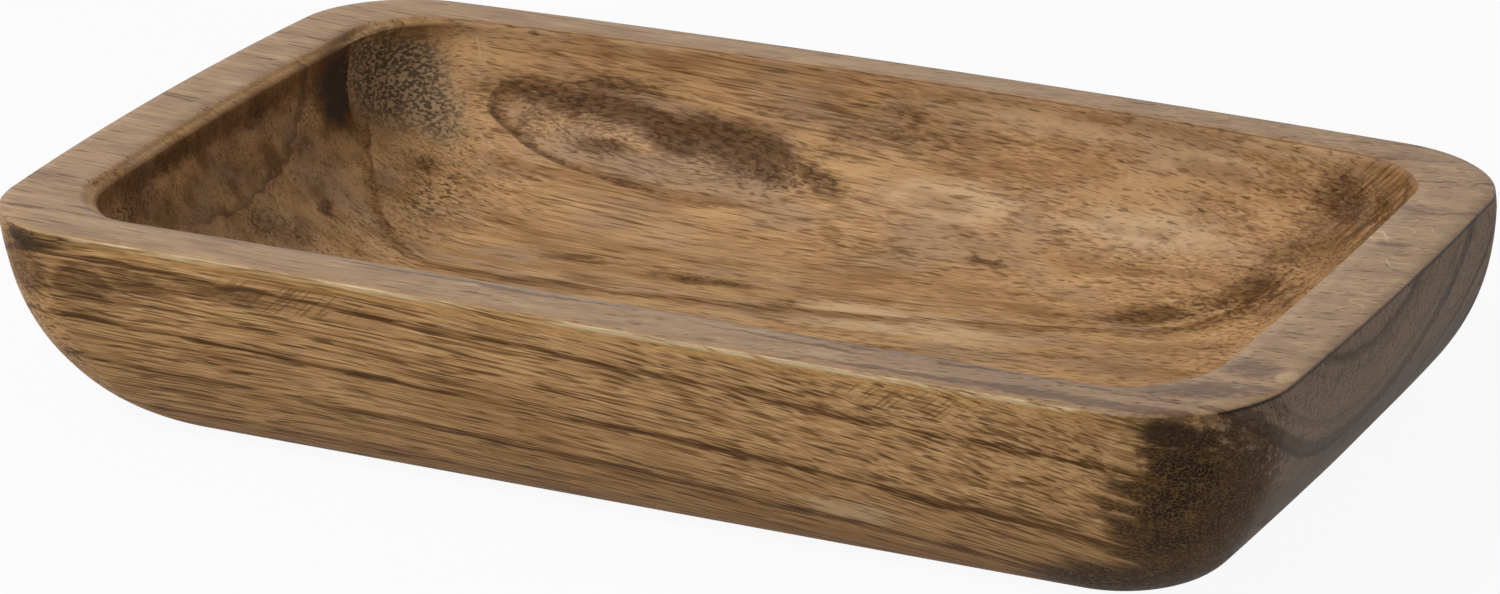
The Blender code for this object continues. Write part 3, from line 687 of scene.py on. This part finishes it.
    # Coats of colour, each laid over those before it: the colour, the figure that it follows, the
    # figure's value where the coat starts and where it is whole, its share, and what it stays within
    coats = (
        # The bare wood
        (WOOD_PALE, fine, 0.44, 0.7, 0.9), (WOOD_UMBER, fine, 0.48, 0.24, 0.58),
        (WOOD_UMBER, grain, 0.5, 0.74, 0.35), (WOOD_PALE, grain, 0.46, 0.26, 0.35),
        (WOOD_UMBER, bands, 0.5, 0.76, 0.36), (WOOD_UMBER, clouds, 0.5, 0.8, 0.32),
        (WOOD_UMBER, year_tone, 0.5, 0.8, 0.4),
        # The hollow, sanded grey in places and rubbed brown in others, pale scuffs and painted highlights,
        # painted shade on the end walls and browning on the front rim, and painted shade darkening the
        # outside towards its foot
        (SCUFFED_GREY, in_hollow, 0.0, 1.0, 0.15, in_hollow),
        (SCUFFED_GREY, puffs, 0.46, 0.66, 0.55, in_hollow),
        (SCUFFED_GREY, oval, 0.05, 0.3, 0.55, in_hollow), (WOOD_PALE, glows, 0.5, 0.68, 0.55, in_hollow),
        (SCUFF_AND_HIGHLIGHT_PALE, scuffs_and_highlights, 0.1, 0.75, 0.75), (WOOD_UMBER, smudges, 0.5, 0.7, 0.55, in_hollow),
        (STAIN_AND_SHADE_BROWN, painted_shade_and_browning, 0.0, 1.0, 0.5), (WOOD_UMBER, painted_foot_shade, 0.0, 1.0, 0.5),
        (STAIN_AND_SHADE_BROWN, wall_clouds, 0.46, 0.7, 0.6, end_wall),
        (WOOD_PALE, wall_clouds, 0.46, 0.26, 0.6, end_wall),
        (POLISHED_GOLD, on_mouth, 0.0, 1.0, 0.2), (POLISHED_GOLD, end_mouth, 0.0, 0.8, 0.6),
        # Late wood, and stains with some painted shade
        (WOOD_UMBER, ring, 0.0, 0.8, 0.65), (STAIN_AND_SHADE_BROWN, ring, 0.6, 1.0, 0.4),
        (PORE_BROWN, arc_line, 0.1, 1.0, 0.55), (STAIN_AND_SHADE_BROWN, stain_and_shade, 0.0, 1.0, 0.45),
        (PORE_BROWN, stain_and_shade, 0.6, 1.0, 0.2), (PORE_BROWN, falling, 0.5, 0.64, 0.6, fibrous),
        (WOOD_TAN, falling, 0.44, 0.34, 0.6, fibrous),
        # The grey end faces and rim, and the damp corner with painted shade at its foot
        (END_GREY, end_face, 0.0, 1.0, 0.75), (RIM_GREY, on_rim, 0.0, 1.0, 0.5),
        (STREAK_GREY, rim_clouds, 0.5, 0.74, 0.3, on_rim),
        (SCUFF_AND_HIGHLIGHT_PALE, rim_clouds, 0.46, 0.26, 0.3, on_rim),
        (STREAK_GREY, rim_lines, 0.54, 0.72, 0.3, on_rim), (DAMP_BROWN, damp_and_foot_shade, 0.0, 1.0, 0.9),
        (SOAKED_BROWN, damp_specks, 0.55, 0.68, 0.6, damp_and_foot_shade),
        (SOAKED_BROWN, damp_clouds, 0.5, 0.66, 0.6, damp_and_foot_shade),
        (END_GRAIN_LINE, damp_clouds, 0.4, 0.24, 0.6, damp_and_foot_shade),
        # Pores, and what lies as fine as they do
        (STAIN_AND_SHADE_BROWN, smears, 0.56, 0.7, 0.55, in_hollow),
        (STAIN_AND_SHADE_BROWN, long_pores, 0.64, 0.75, 1.0, pore_share),
        (STAIN_AND_SHADE_BROWN, flecks, 0.6, 0.82, 0.5), (PORE_BROWN, pores, 0.68, 0.8, 1.0, pore_share),
        # Painted shade: the end faces darker low down, where they curve under
        (END_BAND_AND_SHADE, end_band, 0.4, 0.66, 0.75, end_face), (END_BAND_AND_SHADE, painted_low_end_shade, 0.0, 1.0, 0.65),
        (END_BAND_AND_SHADE, end_streaks, 0.5, 0.72, 0.5, end_face), (STREAK_GREY, streak_specks, 0.4, 0.72, 0.6),
        (STREAK_GREY, streaked, 0.0, 1.0, 0.2), (PORE_BROWN, dots, 0.5, 0.64, 0.7, spotted),
        (STAIN_AND_SHADE_BROWN, strokes, 0.5, 0.7, 0.5, tool_marked),
        # The mottled corner, the soaked stains with painted shade at the corner's foot, stain and painted
        # shade in the crease, and last the marks and the worn arris
        (MOTTLE_GREY, mottled, 0.0, 1.0, 0.6), (MOTTLE_AND_SHADE_BLACK, mottle, 0.45, 0.55, 0.74, mottled),
        (SOAKED_BROWN, soaked_and_foot_shade, 0.0, 1.0, 0.9), (STAIN_AND_SHADE_BROWN, crease_stain_and_shade, 0.0, 0.6, 0.75),
        (MOTTLE_AND_SHADE_BLACK, crease_stain_and_shade, 0.4, 1.0, 0.92), (MOTTLE_TAN, mottle, 0.44, 0.34, 0.9, mottled),
        (END_GRAIN_LINE, end_grain_lines, 0.035, 0.0, 0.5, damp_and_foot_shade),
        (WORN_PALE, tracks, 0.004, 0.0, 0.35, worm_tracked), (SCUFF_AND_HIGHLIGHT_PALE, scratched, 0.0, 1.0, 0.5),
        (WORN_GOLD, front_arris, 0.05, 0.5, 0.7, node("ShaderNodeMapRange", (worn_lines, 0.36, 0.58))),
        (STAIN_AND_SHADE_BROWN, worn_lines, 0.56, 0.66, 0.7, front_arris),
        (WORN_PALE, front_arris, 0.5, 0.8, 0.95, node("ShaderNodeMapRange", (broken, 0.36, 0.5))),
        (SOAKED_BROWN, end_arris, 0.62, 0.86, 0.85),
    )
    wood = linear(WOOD_TAN)
    for colour, where, start, whole, share, *within in coats:
        for part in within:
            share = node("ShaderNodeMath:MULTIPLY", (part, share))
        cover = node("ShaderNodeMapRange", (where, start, whole, 0.0, share), **soft)
        wood = node("ShaderNodeMix", (cover, wood, linear(colour)), data_type="RGBA")

    # The oil has sunk in, so the gloss is weak. The much handled rim is a little smoother
    tree.links.new(wood.outputs[2], shader.inputs["Base Color"])
    shader.inputs["Specular IOR Level"].default_value = 0.14
    roughness = gathered(0.56, (-0.14, on_rim), (0.12, figure(fibre, (30, 4, 4), 1.0, 61.0)))
    tree.links.new(roughness.outputs[0], shader.inputs["Roughness"])
    sunk = node("ShaderNodeMapRange", (pores, 0.78, 0.64), **soft)
    bump = node("ShaderNodeBump", {"Strength": 0.35, "Distance": PORE_DEPTH, "Height": sunk})
    tree.links.new(bump.outputs[0], shader.inputs["Normal"])
    return material


tray = carve_tray(stained_wood())
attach(tray, "root")
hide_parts("carved_tray")


# The studio
# A long lens looks down at the tray's front right corner from about 1.4 m. One wide soft lamp
# stands at the front left, and the floor is plain white paper with only the tray's shadow on it.
CAMERA_AZIMUTH = math.radians(25.39)
CAMERA_ELEVATION = math.radians(20.58)
CAMERA_DISTANCE = 1.382
CAMERA_AIM = Vector((0.0027, -0.0081, 0.0254))
CAMERA_LENS_MM = 151.8
SENSOR_MM = 36.0

camera_data = bpy.data.cameras.new("camera")
camera_data.lens = CAMERA_LENS_MM
camera_data.sensor_width = SENSOR_MM
camera = bpy.data.objects.new("camera", camera_data)
bpy.context.scene.collection.objects.link(camera)
back = Vector((math.sin(CAMERA_AZIMUTH) * math.cos(CAMERA_ELEVATION),
               -math.cos(CAMERA_AZIMUTH) * math.cos(CAMERA_ELEVATION),
               math.sin(CAMERA_ELEVATION)))
camera.location = CAMERA_AIM + back * CAMERA_DISTANCE
camera.rotation_euler = back.to_track_quat("Z", "Y").to_euler()
bpy.context.scene.camera = camera

FLOOR_HALF = 4.0
WHITE, PAPER_GREY = "#ffffff", "#d2d2d2"
PAPER_GLOW, SKY_FILL = 0.93, 0.28
KEY_PLACE, KEY_WIDTH, KEY_WATTS = Vector((-1.08, -1.06, 1.6)), 1.0, 36.0


def seen_rays(tree):
    """1 for what the camera sees, also mirrored or through glass, and 0 for light on the tray."""
    path = add(tree, "ShaderNodeLightPath").outputs
    seen = add(tree, "ShaderNodeMath:MAXIMUM", (path["Is Camera Ray"], path["Is Glossy Ray"]))
    return add(tree, "ShaderNodeMath:MAXIMUM", (seen, path["Is Transmission Ray"]))


# White paper shows as white by its own glow where the camera sees it, and takes the shadow
floor_mesh = bpy.data.meshes.new("studio_floor")
floor_corners = [(x * FLOOR_HALF, y * FLOOR_HALF, 0.0) for x, y in ((-1, -1), (1, -1), (1, 1), (-1, 1))]
floor_mesh.from_pydata(floor_corners, [], [(0, 1, 2, 3)])
floor = bpy.data.objects.new("studio_floor", floor_mesh)
bpy.context.scene.collection.objects.link(floor)
paper = bpy.data.materials.new("white_paper")
paper.use_nodes = True
sheet = paper.node_tree
sheet.nodes.clear()
glow = add(sheet, "ShaderNodeMath:MULTIPLY", (seen_rays(sheet), PAPER_GLOW))
matt = add(sheet, "ShaderNodeBsdfDiffuse", {"Color": linear(PAPER_GREY)})
lit = add(sheet, "ShaderNodeEmission", {"Color": linear(WHITE), "Strength": 1.0})
add(sheet, "ShaderNodeOutputMaterial", (add(sheet, "ShaderNodeMixShader", (glow, matt, lit)),))
floor_mesh.materials.append(paper)

world = bpy.data.worlds.new("studio")
bpy.context.scene.world = world
world.use_nodes = True
sky = world.node_tree
sky.nodes.clear()
fill = add(sky, "ShaderNodeBackground", {"Color": linear(WHITE), "Strength": SKY_FILL})
white = add(sky, "ShaderNodeBackground", {"Color": linear(WHITE), "Strength": 1.0})
whole_sky = add(sky, "ShaderNodeMixShader", (seen_rays(sky), fill, white))
add(sky, "ShaderNodeOutputWorld", {"Surface": whole_sky})

key_light = bpy.data.lights.new("key", "AREA")
key_light.shape = "DISK"
key_light.size = KEY_WIDTH
key_light.energy = KEY_WATTS
key = bpy.data.objects.new("key", key_light)
bpy.context.scene.collection.objects.link(key)
key.location = KEY_PLACE
key.rotation_euler = KEY_PLACE.to_track_quat("Z", "Y").to_euler()

view = bpy.context.scene.view_settings
view.view_transform = "Standard"
